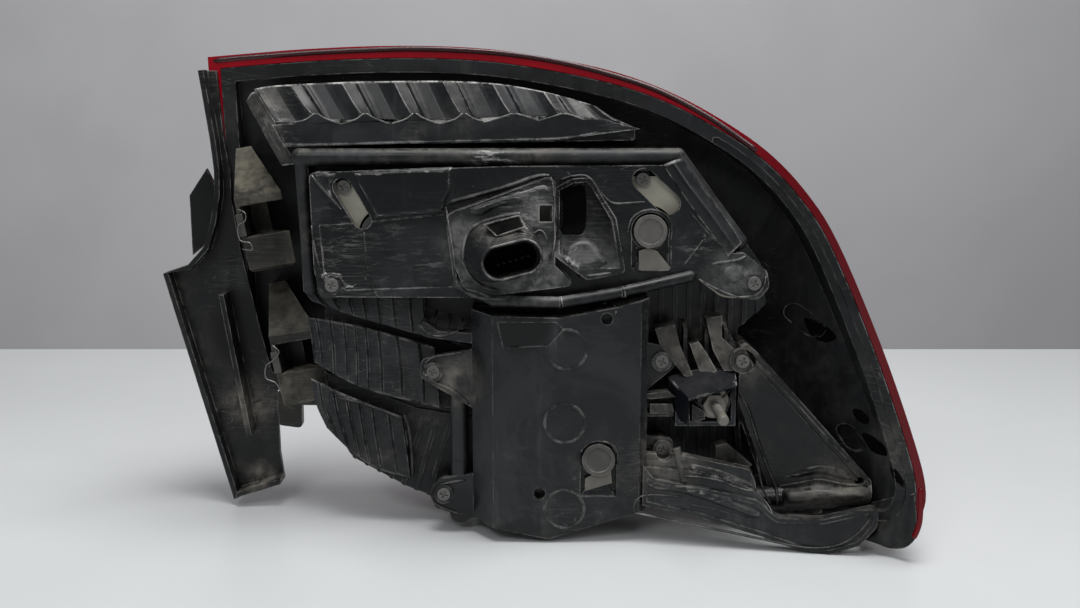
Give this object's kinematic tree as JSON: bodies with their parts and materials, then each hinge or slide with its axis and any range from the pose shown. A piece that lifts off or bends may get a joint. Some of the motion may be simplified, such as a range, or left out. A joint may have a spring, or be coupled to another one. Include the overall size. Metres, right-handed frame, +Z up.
{
  "type": "rear lamp cluster",
  "caption": "Left-hand rear lamp cluster of a car: wrap-round red lens, ribbed housing, screwed-on bulb carriers, plug inlet and mounting stud.",
  "frame": {"origin": "root of the mounting stud, on the stud's axis, at the body side of its collar", "axes": "+Y points out through the lens, -Y along the stud towards the car body, +Z up as fitted, +X towards the corner of the car that the lens wraps round"},
  "size_m": [0.4306, 0.1403, 0.2784],
  "materials": {
    "red_lens": "clear deep red, glossy, with a bright edge",
    "black_plastic": "black moulding with grey scuffs and road dust",
    "carrier_plastic": "satin black moulding with pale scratches",
    "dusty_plastic": "black moulding under beige-grey dust",
    "spring_steel": "dull spring strip",
    "circuit_board": "green lacquer",
    "bright_metal": "vapour-coated bright sheet",
    "cream_plastic": "cream moulding, dusty",
    "foam": "closed foam",
    "contact_metal": "tinned brass",
    "cap_plastic": "dusty brown-grey cap",
    "clear_glass": "clear",
    "amber_glass": "amber",
    "screw_steel": "dull zinc, dusty",
    "rubber": "soft black"
  },
  "bodies": {
    "root": {"outer_lens": "red_lens", "lamp_housing": "black_plastic", "side_flange": "black_plastic", "upper_clip_tower": "dusty_plastic", "lower_clip_tower": "dusty_plastic", "upper_spring_clip": "spring_steel", "lower_spring_clip": "spring_steel", "stepped_reflector": "black_plastic", "led_board": "circuit_board", "chamber_shell": "black_plastic", "inner_reflector": "bright_metal", "cream_panel": "cream_plastic", "upper_seal": "foam", "lower_seal": "foam", "upper_carrier": "carrier_plastic", "lower_carrier": "carrier_plastic", "corner_cover": "black_plastic", "plug_shroud": "carrier_plastic", "plug_pins": "contact_metal", "upper_breather_cap": "cap_plastic", "lower_breather_cap": "cap_plastic", "upper_holders": "black_plastic", "lower_holders": "black_plastic", "stop_bulb": "clear_glass", "turn_bulb": "amber_glass", "reverse_bulb": "clear_glass", "fog_bulb": "clear_glass", "carrier_screws": "screw_steel", "ear_screws": "screw_steel", "stud_bracket": "dusty_plastic", "mount_stud": "screw_steel", "stud_nut": "screw_steel", "bump_stop": "rubber"}
  },
  "joints": []
}
